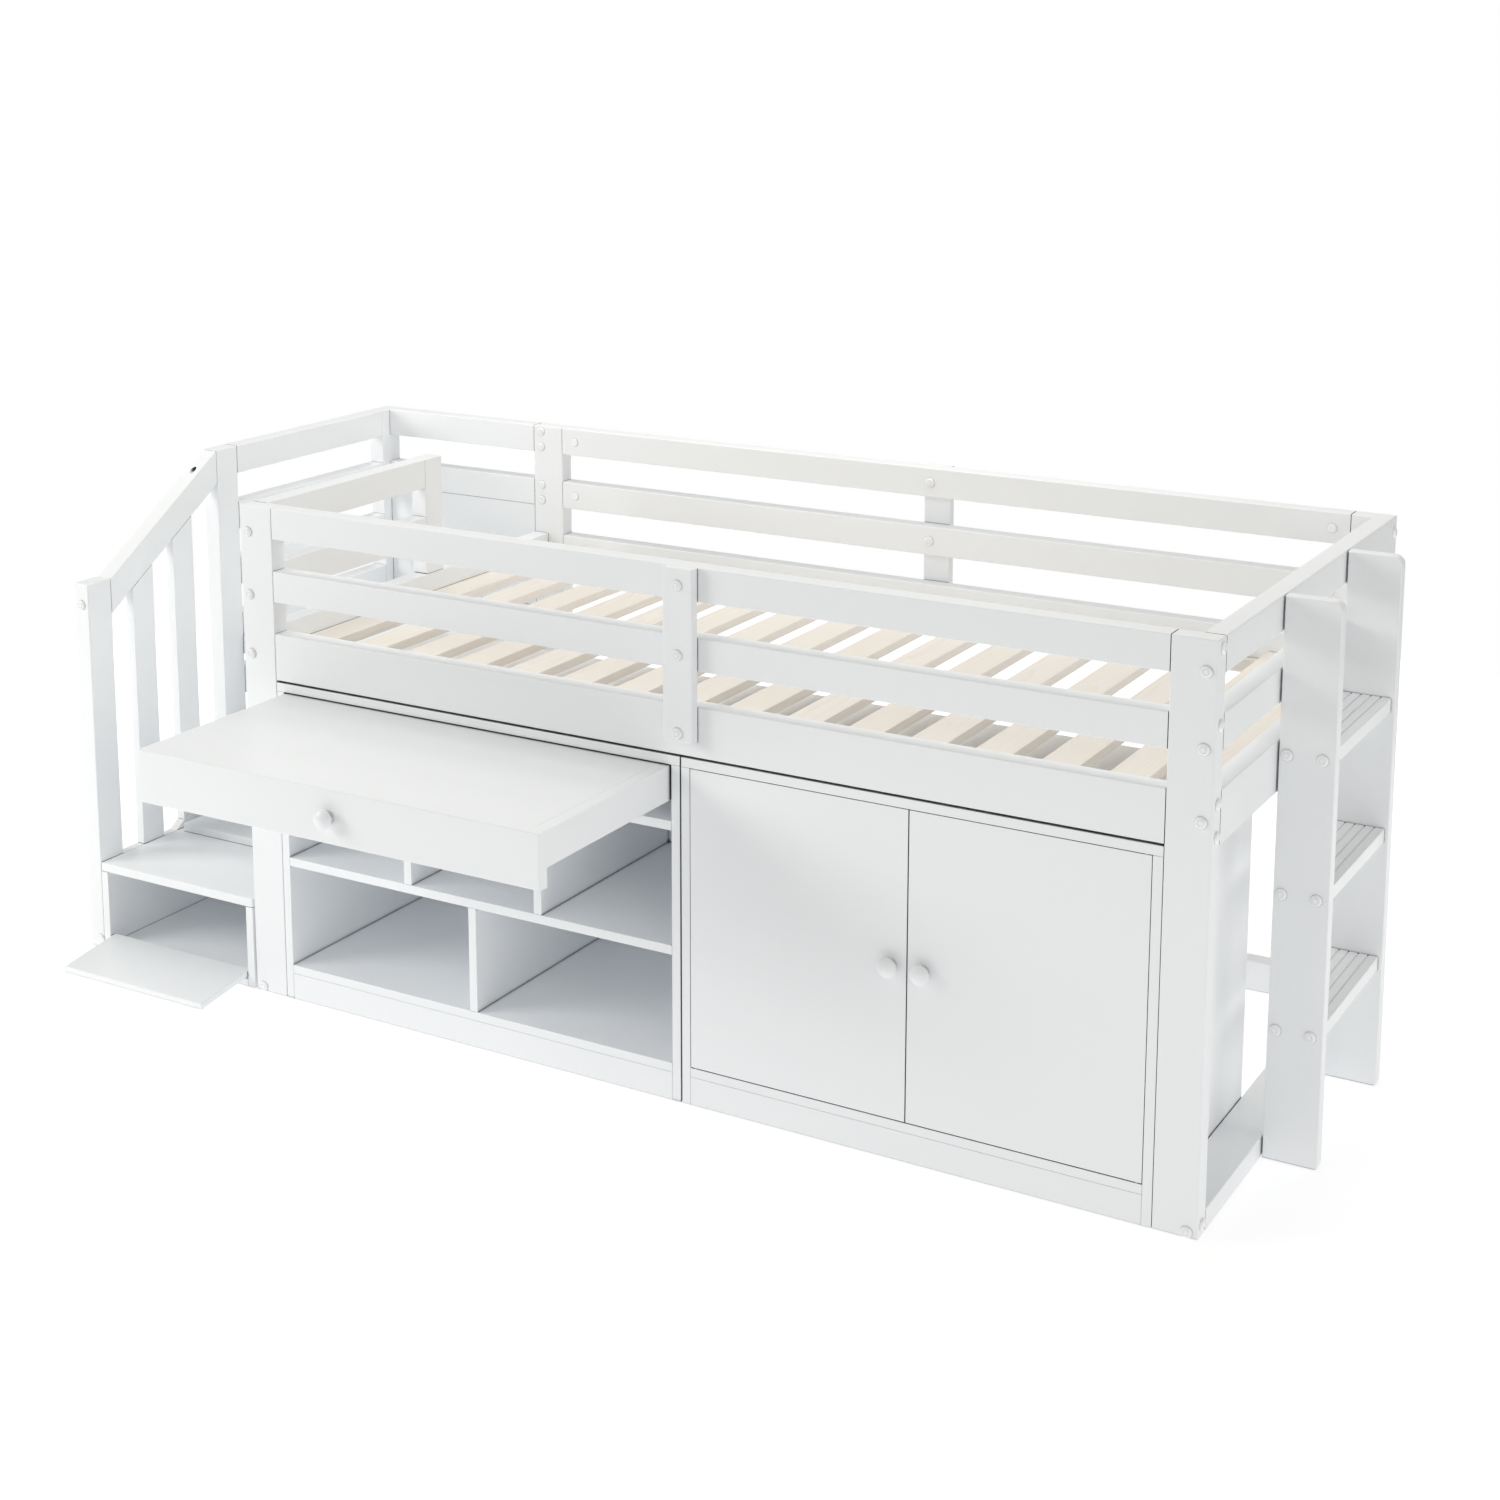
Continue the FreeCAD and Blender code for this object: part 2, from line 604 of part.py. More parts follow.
def dividers():
    """One upright in the lower row and evenly spaced uprights in the upper row."""
    inner = cabinet_inner(desk_cabinet_x)
    low_mid = sum(inner) / 2
    y = (0.0, cabinet_back_y)
    found = [block((low_mid - BOARD / 2, low_mid + BOARD / 2), y, (cabinet_floor, low_shelf_z))]
    cubby = (inner[1] - inner[0] - BOARD * (HIGH_CUBBIES - 1)) / HIGH_CUBBIES
    for i in range(1, HIGH_CUBBIES):
        x = inner[0] + cubby * i + BOARD * (i - 1)
        found.append(block((x, x + BOARD), y, (low_shelf_z + BOARD, high_shelf_z)))
    return found


def door_spans():
    """X spans of the left and the right door."""
    inner = cabinet_inner(door_cabinet_x)
    left = (inner[0] + DOOR_SIDE_GAP, sum(inner) / 2 - DOOR_SPLIT_GAP / 2)
    return mirror_pair(left, sum(inner) / 2)


def door_hinges():
    """X of the left and the right door's pivot line."""
    left, right = door_spans()
    return [left[0] + DOOR_PIVOT_INSET, right[1] - DOOR_PIVOT_INSET]


def door(x, hinge_x, knob_hole):
    """Inset door with its pivot and knob holes."""
    z = (cabinet_floor + DOOR_BOTTOM_GAP, cabinet_roof - DOOR_TOP_GAP)
    panel = block(x, (0.0, DOOR_THICK), z, DOOR_EDGE_ROUND)
    return drilled(panel, [pin(p, "z", PIN_PLAY) for p in door_pivots(hinge_x)] + [knob_hole])


def knob_places():
    """Seats of the desk knob and of the two door knobs."""
    split = sum(cabinet_inner(door_cabinet_x)) / 2
    door_z = (cabinet_floor + cabinet_roof) / 2
    return [V(desk_mid_x, desk_y[0], sum(desk_front_z) / 2),
            V(split - KNOB_TO_SPLIT, 0.0, door_z), V(split + KNOB_TO_SPLIT, 0.0, door_z)]


def knob(seat):
    """Turned knob: foot, neck and rounded head, with a stud that sits in the panel."""
    neck, belly = KNOB_REACH * KNOB_NECK_SHARE, KNOB_REACH * KNOB_BELLY_SHARE
    dome = KNOB_RADIUS * KNOB_DOME
    turn = math.asin(KNOB_CROWN / KNOB_DOME)
    dome_z = KNOB_REACH - dome
    foot = [V(0, 0, -KNOB_STUD_LENGTH), V(KNOB_STUD_RADIUS, 0, -KNOB_STUD_LENGTH),
            V(KNOB_STUD_RADIUS, 0, 0), V(KNOB_FOOT_RADIUS, 0, 0)]
    edges = Part.makePolygon(foot).Edges
    waist = V(KNOB_NECK_RADIUS, 0, neck)
    hollow = V(KNOB_NECK_RADIUS * KNOB_FOOT_HOLLOW[0], 0, neck * KNOB_FOOT_HOLLOW[1])
    edges.append(Part.Arc(foot[-1], hollow, waist).toShape())
    brow = V(KNOB_RADIUS, 0, belly)
    cup = V(KNOB_RADIUS * KNOB_CUP[0], 0, neck * KNOB_CUP[1])
    edges.append(Part.Arc(waist, cup, brow).toShape())
    crown = V(dome * math.sin(turn), 0, dome_z + dome * math.cos(turn))
    edge = V((brow.x + crown.x) / 2 + KNOB_SOFTEN, 0, (brow.z + crown.z) / 2 + KNOB_SOFTEN)
    edges.append(Part.Arc(brow, edge, crown).toShape())
    half = V(dome * math.sin(turn / 2), 0, dome_z + dome * math.cos(turn / 2))
    edges.append(Part.Arc(crown, half, V(0, 0, KNOB_REACH)).toShape())
    edges += Part.makePolygon([V(0, 0, KNOB_REACH), foot[0]]).Edges
    solid = Part.Face(Part.Wire(edges)).revolve(V(0, 0, 0), V(0, 0, 1), 360)
    solid.Placement = FreeCAD.Placement(seat, FreeCAD.Rotation(V(0, 0, 1), V(0, -1, 0)))
    return solid


def knob_hole(seat):
    """Hole for a knob's stud."""
    return rod(seat, AXES["y"], KNOB_STUD_LENGTH + HOLE_PLAY, KNOB_STUD_RADIUS + HOLE_PLAY)


# Desk and runners

def desk_panel():
    """Desk top let in flush between the front and the two sides."""
    x = (desk_x[0] + DESK_SIDE_THICK, desk_x[1] - DESK_SIDE_THICK)
    y = (desk_y[0] + DESK_FRONT_THICK, desk_y[1])
    return faced_block(x, y, (desk_top_z - DESK_TOP_THICK, desk_top_z), BOARD_ROUND, "y", desk_y[1])


def desk_frame(hole):
    """Deep front board with the knob hole, rounded on its face only, and two side boards."""
    y = (desk_y[0], desk_y[0] + DESK_FRONT_THICK)
    front = faced_block(desk_x, y, desk_front_z, TIMBER_ROUND, "y", desk_y[0])
    y = (desk_y[0] + DESK_FRONT_THICK, desk_y[1])
    z = (desk_top_z - DESK_SIDE_HEIGHT, desk_top_z)
    spans = mirror_pair((desk_x[0], desk_x[0] + DESK_SIDE_THICK), desk_mid_x)
    sides = [block(x, y, z, SEAM_ROUND, "y") for x in spans]
    return [drilled(front, [hole])] + sides


def runner_board_spans():
    """X spans of the two boards on the shelf that hold the fixed channels."""
    x0 = desk_x[0] + DESK_SIDE_THICK + RUNNER_SPACE
    return mirror_pair((x0, x0 + RUNNER_BOARD_THICK), desk_mid_x)


def runner_boards():
    """Upright boards on the upper shelf, inside the desk's sides."""
    z = (desk_bay_z, desk_bay_z + RUNNER_BOARD_HEIGHT)
    return [block(x, runner_y, z) for x in runner_board_spans()]


def channel(web_x, lip_x, y, z):
    """U channel with its web at one x and the free edges of its flanges at another."""
    step = math.copysign(RUNNER_SHEET, lip_x - web_x)
    low, high = z[0] + RUNNER_SHEET, z[1] - RUNNER_SHEET
    outline = [(web_x, z[0]), (lip_x, z[0]), (lip_x, low), (web_x + step, low),
               (web_x + step, high), (lip_x, high), (lip_x, z[1]), (web_x, z[1])]
    corners = [V(px, y[0], pz) for px, pz in outline]
    return Part.Face(Part.makePolygon(corners + corners[:1])).extrude(V(0, y[1] - y[0], 0))


def runner_set(layer):
    """Both channels of a layer: 0 fixed to the runner boards, 1 between, 2 fixed to the desk."""
    inset = layer * (RUNNER_SHEET + RUNNER_PLAY)
    z = (runner_z[0] + inset, runner_z[1] - inset)
    shift = desk_pull * layer / 2
    y = (runner_y[0] - shift, runner_y[1] - shift)
    left_desk = desk_x[0] + DESK_SIDE_THICK
    left_board = left_desk + RUNNER_SPACE
    webs = [left_board, left_board - RUNNER_SHEET - RUNNER_PLAY, left_desk]
    lips = [left_desk + RUNNER_SHEET + RUNNER_PLAY, left_desk + RUNNER_SHEET + RUNNER_PLAY,
            left_board - 2 * (RUNNER_SHEET + RUNNER_PLAY)]
    web, lip = webs[layer], lips[layer]
    return [channel(web, lip, y, z), channel(2 * desk_mid_x - web, 2 * desk_mid_x - lip, y, z)]


# Stair pieces

def handrail_z(y):
    """Height of the handrail's top edge."""
    return handrail_start_z + handrail_slope * (y - front_guard_y[1])


def skirt_z(y):
    """Height of the side panel's top edge, level at the first step and then parallel to the handrail."""
    return STEP_1_TOP + handrail_slope * max(0.0, y - SKIRT_START_Y)


def handrail():
    """Sloped rail from the front post to the tall post, sunk for its top bolt."""
    y0, y1 = front_guard_y[1], tall_guard_y[0]
    outline = [(y0, handrail_z(y0) - handrail_drop), (y1, handrail_z(y1) - handrail_drop),
               (y1, handrail_z(y1)), (y0, handrail_z(y0))]
    seat = handrail_bolt()[0]
    bore = rod(seat, AXES["y"] * -1, seat.y - y0, HANDRAIL_HEAD_RADIUS + COUNTERBORE_PLAY)
    return side_outline(outline, guard_x, TIMBER_ROUND).cut(bore)


def baluster(y0):
    """Flat baluster between the side panel and the handrail."""
    y1 = y0 + BALUSTER_WIDTH
    outline = [(y0, skirt_z(y0)), (y1, skirt_z(y1)),
               (y1, handrail_z(y1) - handrail_drop), (y0, handrail_z(y0) - handrail_drop)]
    return side_outline(outline, baluster_x)


def side_panel():
    """Outer panel of the steps, with a top edge that turns up along the stair."""
    y0, y1 = front_guard_y[1], tall_guard_y[0]
    outline = [(y0, 0.0), (y1, 0.0), (y1, skirt_z(y1)), (SKIRT_START_Y, STEP_1_TOP), (y0, STEP_1_TOP)]
    return side_outline(outline, baluster_x)


def guard_rails():
    """Level rails of the landing's outer guard."""
    y = (tall_guard_y[1], rear_guard_y[0])
    return [block(guard_x, y, (top - RAIL_HEIGHT, top), TIMBER_ROUND, "y") for top in guard_tops]


def tongue_z(top, play=0.0):
    """Height span of a rear rail's tongue."""
    return (top - RAIL_HEIGHT + TONGUE_SHOULDER - play, top - TONGUE_SHOULDER + play)


def tongue_y(play=0.0):
    """Depth span of a rear rail's tongue."""
    return (rear_mid_y - TONGUE_THICK / 2 - play, rear_mid_y + TONGUE_THICK / 2 + play)


def stair_rear_rails():
    """Two rear rails with tongues for the bed post, and a plain foot rail."""
    x = (stair_x[0], 0.0)
    found = []
    for top in guard_tops[:2]:
        rail = block(x, rear_y, (top - RAIL_HEIGHT, top), TIMBER_ROUND, "x")
        y, z = tongue_y(), tongue_z(top)
        root = V(-TONGUE_ROOT, y[0], z[0])
        tongue = Part.makeBox(TONGUE_LENGTH + TONGUE_ROOT, y[1] - y[0], z[1] - z[0], root)
        found.append(rail.fuse(tongue).removeSplitter())
    foot = guard_tops[-1]
    return found + [block(x, rear_y, (foot - RAIL_HEIGHT, foot), TIMBER_ROUND, "x")]


def mortises():
    """Slots in the rear left post for the rear rails' tongues."""
    y = tongue_y(TONGUE_PLAY)
    spans = [tongue_z(top, TONGUE_PLAY) for top in guard_tops[:2]]
    length = TONGUE_LENGTH + TONGUE_ROOT + TONGUE_PLAY
    return [Part.makeBox(length, y[1] - y[0], z[1] - z[0], V(-TONGUE_ROOT, y[0], z[0])) for z in spans]


def stair_rear_panel():
    """Solid panel between the landing's level and the second rear rail."""
    z = (landing_top - TREAD_THICK - CLEAT_HEIGHT, guard_tops[1] - RAIL_HEIGHT)
    return block((stair_x[0], 0.0), (rear_y[0], rear_y[0] + BOARD), z)


def tread(y0, y1, top):
    """Full-width step board."""
    return block(stair_x, (y0, y1), (top - TREAD_THICK, top), TIMBER_ROUND)


def step_box():
    """Two sides, floor and back of the box under the first step."""
    z = (0.0, STEP_1_TOP - TREAD_THICK)
    holes = [pin(p, "x", PIN_SEAT_PLAY) for p in flap_pivots()]
    sides = [block(x, (0.0, landing_y), z)
             for x in ((stair_x[0], stair_inner_x[0]), (stair_inner_x[1], stair_x[1]))]
    floor = block(stair_inner_x, (0.0, landing_y - BOARD), (0.0, STEP_FLOOR_THICK))
    back = block(stair_inner_x, (landing_y - BOARD, landing_y), z)
    return [drilled(s, holes) for s in sides] + [floor, back]


def step_2_box():
    """Floor, right side, back and left cleat under the second step."""
    z = (STEP_1_TOP, step_2_top - TREAD_THICK)
    floor = block(stair_inner_x, (STEP_GOING, landing_y - BOARD), (STEP_1_TOP, STEP_1_TOP + BOARD))
    side = block((stair_inner_x[1], stair_x[1]), (STEP_GOING, landing_y), z)
    back = block(stair_inner_x, (landing_y - BOARD, landing_y), z)
    cleat = block((stair_x[0], stair_inner_x[0]), (SECOND_BALUSTER_Y, landing_y),
                  (z[1] - CLEAT_HEIGHT, z[1]))
    return [floor, side, back, cleat]


def landing_supports():
    """Right side, riser and left cleat under the landing."""
    top = landing_top - TREAD_THICK
    side = block((stair_inner_x[1], stair_x[1]), (landing_y, rear_y[0]), (0.0, top))
    riser = block(stair_inner_x, (landing_y, landing_y + BOARD), (step_2_top - TREAD_THICK, top))
    cleat = block((stair_x[0], stair_inner_x[0]), (landing_y, rear_y[0]), (top - CLEAT_HEIGHT, top))
    return [side, riser, cleat]


def flap_open_angle():
    """Angle below level at which the open flap's front edge comes down to the floor."""
    reach = STEP_1_TOP - TREAD_THICK - FLAP_TOP_GAP - FLAP_PIVOT_Z
    radius = math.hypot(reach, FLAP_THICK / 2)
    return math.degrees(math.asin((FLAP_PIVOT_Z - FLAP_FLOOR_GAP) / radius)
                        - math.atan2(FLAP_THICK / 2, reach))


def step_flap():
    """Drop-down front of the first step's box, lying open with its edge on the floor."""
    x = (stair_inner_x[0] + FLAP_SIDE_GAP, stair_inner_x[1] - FLAP_SIDE_GAP)
    z = (FLAP_PIVOT_Z - FLAP_THICK / 2, STEP_1_TOP - TREAD_THICK - FLAP_TOP_GAP)
    panel = block(x, (0.0, FLAP_THICK), z, TIMBER_ROUND)
    panel = drilled(panel, [pin(p, "x", PIN_PLAY) for p in flap_pivots()])
    panel.rotate(V(0, FLAP_THICK / 2, FLAP_PIVOT_Z), AXES["x"], 90 + flap_open_angle())
    return panel


# Ladder pieces

def ladder_board(y):
    """Upright board with a round top and foot corner on its outer edge."""
    solid = Part.makeBox(LADDER_BOARD_WIDTH, y[1] - y[0], BED_HEIGHT, V(ladder_x[0], y[0], 0))
    outer = [e for e in solid.Edges if runs_along(e, "y") and e.CenterOfMass.x > sum(ladder_x) / 2]
    top = [e for e in outer if e.CenterOfMass.z > BED_HEIGHT / 2]
    solid = solid.makeFillet(LADDER_TOP_ROUND, top)
    foot = [e for e in solid.Edges if runs_along(e, "y") and e.CenterOfMass.z < 1.0
            and e.CenterOfMass.x > sum(ladder_x) / 2]
    solid = solid.makeFillet(LADDER_FOOT_ROUND, foot)
    faces = [f for f in solid.Faces if abs(f.normalAt(0, 0).y) > 0.99]
    return solid.makeFillet(TIMBER_ROUND, [e for f in faces for e in f.Edges])


def ladder_tread(top):
    """Tread between the boards, with grip grooves along its length."""
    y = (ladder_front_y[1], ladder_rear_y[0])
    solid = block(ladder_tread_x, y, (top - LADDER_TREAD_THICK, top), TIMBER_ROUND, "y")
    pitch = LADDER_TREAD_DEPTH / (GROOVE_COUNT + 1)
    starts = [V(ladder_x[0] + pitch * (i + 1), y[0] - 1, top) for i in range(GROOVE_COUNT)]
    return solid.cut([rod(p, AXES["y"], y[1] - y[0] + 2, GROOVE_RADIUS) for p in starts])


# Holes shared by the pieces that the fasteners cross
frame_bolt_list = long_rail_bolts() + end_rail_bolts() + mid_post_bolts()
stair_bolt_list = stair_bolts()
ladder_bolt_list = ladder_bolts()
shank_holes = [bolt_hole(b) for b in frame_bolt_list + stair_bolt_list + ladder_bolt_list] + stud_holes()
dowel_list = dowel_places()
holes = shank_holes + [nut_hole(p) for p in nut_places()] + [dowel(p, HOLE_PLAY) for p in dowel_list]


def save_timber(name, solids):
    """Write a node whose solids take the shared holes."""
    save(name, [drilled(s, holes) for s in solids])


# Bed frame
left_post_x, right_post_x = (0.0, POST_WIDTH), (BED_LENGTH - POST_WIDTH, BED_LENGTH)
front_post_y, rear_post_y = (0.0, POST_THICK), (BED_WIDTH - POST_THICK, BED_WIDTH)
save_timber("bed_post_front_left", [bed_post(left_post_x, front_post_y)])
save_timber("bed_post_front_right", [bed_post(right_post_x, front_post_y)])
save_timber("bed_post_rear_left", [bed_post(left_post_x, rear_post_y).cut(mortises())])
save_timber("bed_post_rear_right", [bed_post(right_post_x, rear_post_y)])
save_timber("front_guard_rails", guard_pair(front_y))
save_timber("front_side_rail", [side_rail(front_y)])
save_timber("rear_guard_rails", guard_pair(rear_y))
save_timber("rear_side_rail", [side_rail(rear_y)])
save_timber("right_end_rails", end_rails(right_end_x, rail_y))
save_timber("left_end_rails", end_rails(left_end_x, (rail_y[0], entrance_post_y[0] - RAIL_END_GAP)))
save_timber("entrance_post", [entrance_post()])
save_timber("bottom_stretchers", stretchers())
save_timber("mid_posts", mid_posts())
save("slat_ledgers", ledgers())
save("slats", slats())
save("frame_bolts", [bolt_solid(b) for b in frame_bolt_list] + hidden_studs())
save("barrel_nuts", [nut_solid(p, shank_holes) for p in nut_places()])

# Desk cabinet
pivot_starts = [p for hinge in door_hinges() for p in door_pivots(hinge)]
pin_seats = [pin(p, "z", PIN_SEAT_PLAY) for p in pivot_starts]
knob_seats = knob_places()
save_timber("desk_cabinet_sides", cabinet_sides(desk_cabinet_x))
save("desk_cabinet_top", [cabinet_lid(desk_cabinet_x)])
save("desk_cabinet_shelves", [cabinet_level(desk_cabinet_x, z) for z in (low_shelf_z, high_shelf_z)])
save("desk_cabinet_dividers", dividers())
save("runner_boards", runner_boards())
save("runner_fixed_channels", runner_set(0))
save("runner_middle_channels", runner_set(1))
save("desk_channels", runner_set(2))
save("desk_top", [desk_panel()])
save("desk_frame", desk_frame(knob_hole(knob_seats[0])))
save("desk_knob", [knob(knob_seats[0])])

# Door cabinet and the boards that both cabinets have
bottoms = [cabinet_level(x, PLINTH_HEIGHT) for x in (desk_cabinet_x, door_cabinet_x)]
shelf_y = DOOR_THICK + DOOR_SHELF_SETBACK
save_timber("door_cabinet_sides", cabinet_sides(door_cabinet_x))
save("door_cabinet_top", [drilled(cabinet_lid(door_cabinet_x), pin_seats)])
save("door_cabinet_shelf", [cabinet_level(door_cabinet_x, door_shelf_z, shelf_y)])
save("cabinet_bottoms", [drilled(b, pin_seats) for b in bottoms])
save("cabinet_backs", [cabinet_back(x) for x in (desk_cabinet_x, door_cabinet_x)])
save_timber("cabinet_plinths", [plinth(x) for x in (desk_cabinet_x, door_cabinet_x)])
for side, span, hinge, seat in zip(("left", "right"), door_spans(), door_hinges(), knob_seats[1:]):
    save(side + "_door", [door(span, hinge, knob_hole(seat))])
    save(side + "_door_knob", [knob(seat)])
save("pivot_pins", [pin(p, "z") for p in pivot_starts] + [pin(p, "x") for p in flap_pivots()])

# Stairs
front_post_z = (0.0, handrail_start_z + FRONT_POST_PROUD)
stair_post_z = (0.0, BED_HEIGHT)
save_timber("stair_front_post", [block(guard_x, front_guard_y, front_post_z, TIMBER_ROUND)])
save_timber("stair_tall_post", [block(guard_x, tall_guard_y, stair_post_z, TIMBER_ROUND)])
save_timber("stair_rear_post", [block(guard_x, rear_guard_y, stair_post_z, TIMBER_ROUND)])
save_timber("stair_handrail", [handrail()])
save("stair_balusters", [baluster(y) for y in (FIRST_BALUSTER_Y, SECOND_BALUSTER_Y)])
save_timber("stair_guard_rails", guard_rails())
save_timber("stair_side_panel", [side_panel()])
save_timber("stair_rear_rails", stair_rear_rails())
save("stair_rear_panel", [stair_rear_panel()])
save("step_box_boards", step_box())
save("step_flap", [step_flap()])
save("step_1_tread", [tread(0.0, landing_y, STEP_1_TOP)])
save("step_2_boards", step_2_box())
save("step_2_tread", [tread(STEP_GOING, landing_y, step_2_top)])
save("landing_board", [tread(landing_y, rear_y[0], landing_top)])
save("landing_supports", landing_supports())
save("stair_bolts", [bolt_solid(b) for b in stair_bolt_list])
save("stair_dowels", [dowel(p) for p in dowel_list])

# Ladder
save_timber("ladder_boards", [ladder_board(y) for y in (ladder_front_y, ladder_rear_y)])
save_timber("ladder_treads", [ladder_tread(top) for top in ladder_tops])
save("ladder_bolts", [bolt_solid(b) for b in ladder_bolt_list])

print("origin offset", origin, "flap angle", flap_open_angle())
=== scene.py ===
import math

import bpy
import numpy as np
from mathutils import Matrix, Vector


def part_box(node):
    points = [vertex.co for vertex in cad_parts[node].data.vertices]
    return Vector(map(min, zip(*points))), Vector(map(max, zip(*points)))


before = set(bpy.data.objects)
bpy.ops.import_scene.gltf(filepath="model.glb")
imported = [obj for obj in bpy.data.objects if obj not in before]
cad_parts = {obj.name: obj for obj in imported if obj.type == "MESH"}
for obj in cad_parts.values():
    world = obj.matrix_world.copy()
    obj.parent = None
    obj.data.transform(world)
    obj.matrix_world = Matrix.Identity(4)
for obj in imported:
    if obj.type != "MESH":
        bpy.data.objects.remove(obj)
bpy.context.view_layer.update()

# Sizes in metres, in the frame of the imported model: +Z up, floor at z = 0.

# Camera, from a pinhole fit to the straight edges of the bed, set out from the foot of the front left post
PICTURE_WIDTH = 1500
FOCAL_PIXELS = 2383.3
CAMERA_FROM_POST = (3.1795, -3.5164, 2.0254)
CAMERA_YAW = 0.5195
CAMERA_PITCH = 0.1778
CAMERA_ROLL = 0.0014
CAMERA_SHIFT_Y = -0.22
CAMERA_REACH = 200.0
SENSOR_WIDTH = 36.0

# Slats and ledgers, as the frame has them; the ledger pitch takes in both ledgers
SLAT_COUNT = 16
SLAT_WIDTH = 0.070
LEDGER_DEPTH = 0.022
LEDGER_PITCH = 1.0

# Floor and light
FLOOR_RADIUS = 3.4
FLOOR_DROP = 0.0004
FLOOR_SIDES = 96
FLOOR_GLOW_NEAR = 0.69
FLOOR_GLOW_FAR = 1.0
FLOOR_NEAR_RADIUS = 1.2
FLOOR_FAR_RADIUS = 2.6
SKY_STRENGTH = 0.305
LAMP_TINT = (1.007, 1.0, 0.967)
LIGHT_BOUNCES = 12

# Soft boxes: place, point each one faces, width and height, power in watts. The overhead box faces a point a
# hair off straight down, which settles how it is turned.
SOFT_BOXES = {
    "overhead_box": ((-0.3, 0.6, 3.0), (-0.3, 0.6001, 0.0), (3.2, 2.0), 44.0),
    "front_box": ((0.4, -4.2, 1.5), (0.2, 0.0, 0.5), (5.0, 1.6), 10.5),
    "stair_box": ((-2.7, -1.9, 1.4), (-1.2, 0.0, 0.4), (1.4, 1.2), 9.5),
    "left_front_box": ((-4.0, -3.2, 2.6), (0.0, 0.0, 0.5), (2.4, 2.0), 84.0),
    "left_box": ((-5.0, 0.3, 1.8), (0.0, 0.0, 0.5), (2.4, 2.0), 12.0),
    "right_box": ((5.0, 0.2, 1.8), (0.0, 0.0, 0.5), (2.4, 2.0), 34.0),
    "right_front_box": ((4.2, -3.2, 2.4), (0.0, 0.0, 0.5), (2.4, 2.0), 22.0),
    "rear_box": ((0.0, 4.5, 3.2), (0.0, 0.0, 0.5), (4.0, 2.0), 21.0),
}

# Paint, wood and metal tones
WHITE = (1.0, 1.0, 1.0, 1.0)
PAINT_LIGHT = (0.898, 0.913, 0.930, 1.0)
PAINT_SHADE = (0.876, 0.893, 0.912, 1.0)
PINE_EARLY = (0.852, 0.806, 0.752, 1.0)
PINE_LATE = (0.785, 0.688, 0.575, 1.0)
BEECH_EARLY = (0.72, 0.56, 0.41, 1.0)
BEECH_LATE = (0.58, 0.42, 0.28, 1.0)
COATING_LIGHT = (0.955, 0.96, 0.965, 1.0)
COATING_SHADE = (0.925, 0.932, 0.94, 1.0)
ZINC_LIGHT = (0.66, 0.68, 0.70, 1.0)
ZINC_SHADE = (0.46, 0.48, 0.51, 1.0)
FLOOR_TONE = (0.45, 0.452, 0.455, 1.0)
# Painted shade: the near black that gaps, joints and inner corners are darkened towards
PAINTED_SHADE_TONE = (0.035, 0.033, 0.032, 1.0)

# Painted shade that darkens gaps, joints and inner corners: how near a neighbour stands there, and the
# openness at which the painted shade is full and at which it is gone
CABINET_SHADE_REACH = 0.009
TIMBER_SHADE_REACH = 0.003
LADDER_SHADE_REACH = 0.005
HANDRAIL_SHADE_REACH = 0.014
BOLT_SHADE_REACH = 0.0006
JOINT_SHADE_CLOSED = 0.32
JOINT_SHADE_OPEN = 0.85
JOINT_SHADE_RAYS = 4

# Patterns of the finishes. A noise has its waves to the metre, its detail and sometimes its roughness, a
# relief its depth and strength, a range its values at 0 and at 1. A ratio says how far a pattern is drawn
# out along the grain, and a share how much of a blend is the fibres'.
TIMBER_FIBRES = (310.0, 4.0, 0.62)
TIMBER_FIBRE_RATIO = 34.0
TIMBER_SPRAY = (760.0, 2.0)
TIMBER_CLOUDS = (3.4, 3.0)
TIMBER_TONE_SHARE = 0.35
TIMBER_HEIGHT_SHARE = 0.8
TIMBER_ROUGHNESS = (0.46, 0.34)
TIMBER_RELIEF = (0.00022, 0.55)

BOARD_PEEL = (420.0, 3.0, 0.55)
BOARD_CLOUDS = (2.6, 3.0)
BOARD_ROUGHNESS = (0.33, 0.43)
BOARD_RELIEF = (0.00010, 0.5)

PINE_PITH_BESIDE = (-0.05, 0.05)
PINE_PITH_BELOW = (0.02, 0.11)
PINE_WANDER = (14.0, 2.0)
PINE_WANDER_RATIO = 9.0
PINE_WANDER_WIDTH = (-0.016, 0.016)
PINE_RING_WIDTH = 0.0052
PINE_RING_SHARPNESS = 2.6
PINE_RING_TONE = 0.42
PINE_FIBRES = (900.0, 3.0, 0.6)
PINE_FIBRE_RATIO = 60.0
PINE_FIBRE_TONE = (-0.08, 0.16)
PINE_BOARD_TONE = (-0.06, 0.14)
PINE_HEIGHT_SHARE = 0.7
PINE_ROUGHNESS = (0.48, 0.62)
PINE_RELIEF = (0.00018, 0.5)

BEECH_FLECKS = (900.0, 3.0, 0.6)
BEECH_FLECK_RATIO = 12.0
BEECH_ROUGHNESS = (0.45, 0.6)
BEECH_RELIEF = (0.00015, 0.5)

COATING_POWDER = (1500.0, 2.0)
COATING_CLOUDS = (60.0, 2.0)
COATING_ROUGHNESS = (0.24, 0.34)
COATING_RELIEF = (0.00006, 0.4)

ZINC_ROLLING = (1200.0, 3.0, 0.6)
ZINC_ROLLING_RATIO = 30.0
ZINC_BLOOM = (45.0, 4.0, 0.6)
ZINC_ROUGHNESS = (0.26, 0.42)
ZINC_RELIEF = (0.00005, 0.4)

FLOOR_CLOUDS = (0.8, 2.0)
FLOOR_ROUGHNESS = (0.86, 0.94)
FLOOR_SHEEN = 0.1

